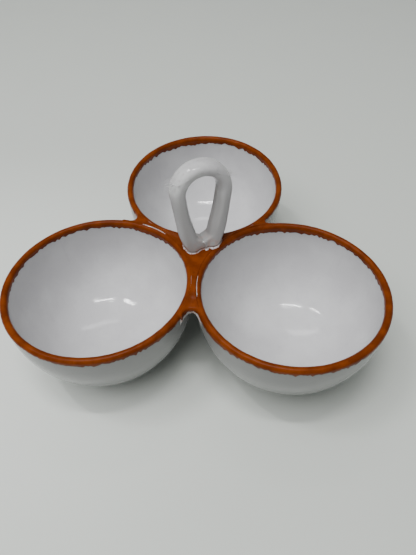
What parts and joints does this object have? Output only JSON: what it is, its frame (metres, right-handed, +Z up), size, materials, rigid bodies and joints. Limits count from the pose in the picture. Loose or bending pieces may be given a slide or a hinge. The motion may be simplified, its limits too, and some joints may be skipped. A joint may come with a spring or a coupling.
{
  "type": "chip and dip server",
  "caption": "Three deep round bowls joined in a ring by a clay web that carries a loop handle, for serving chips, dips or snacks.",
  "frame": {"origin": "middle of the footprint's bounding box, on the table plane", "axes": "+X to the right along the two front bowls, +Y towards the single back bowl, +Z up"},
  "size_m": [0.2918, 0.2722, 0.1537],
  "materials": {
    "white_glaze": "gloss",
    "brown_glaze": "gloss",
    "luting_slip": "satin"
  },
  "bodies": {
    "root": {"bowl_left": "white_glaze", "bowl_right": "white_glaze", "bowl_back": "white_glaze", "slip_seam_front": "luting_slip", "slip_seam_back_right": "luting_slip", "slip_seam_back_left": "luting_slip", "wedge_front": "white_glaze", "wedge_back_right": "white_glaze", "wedge_back_left": "white_glaze", "center_web": "white_glaze", "rim_glaze": "brown_glaze", "handle_slip": "luting_slip", "handle": "white_glaze"}
  },
  "joints": []
}
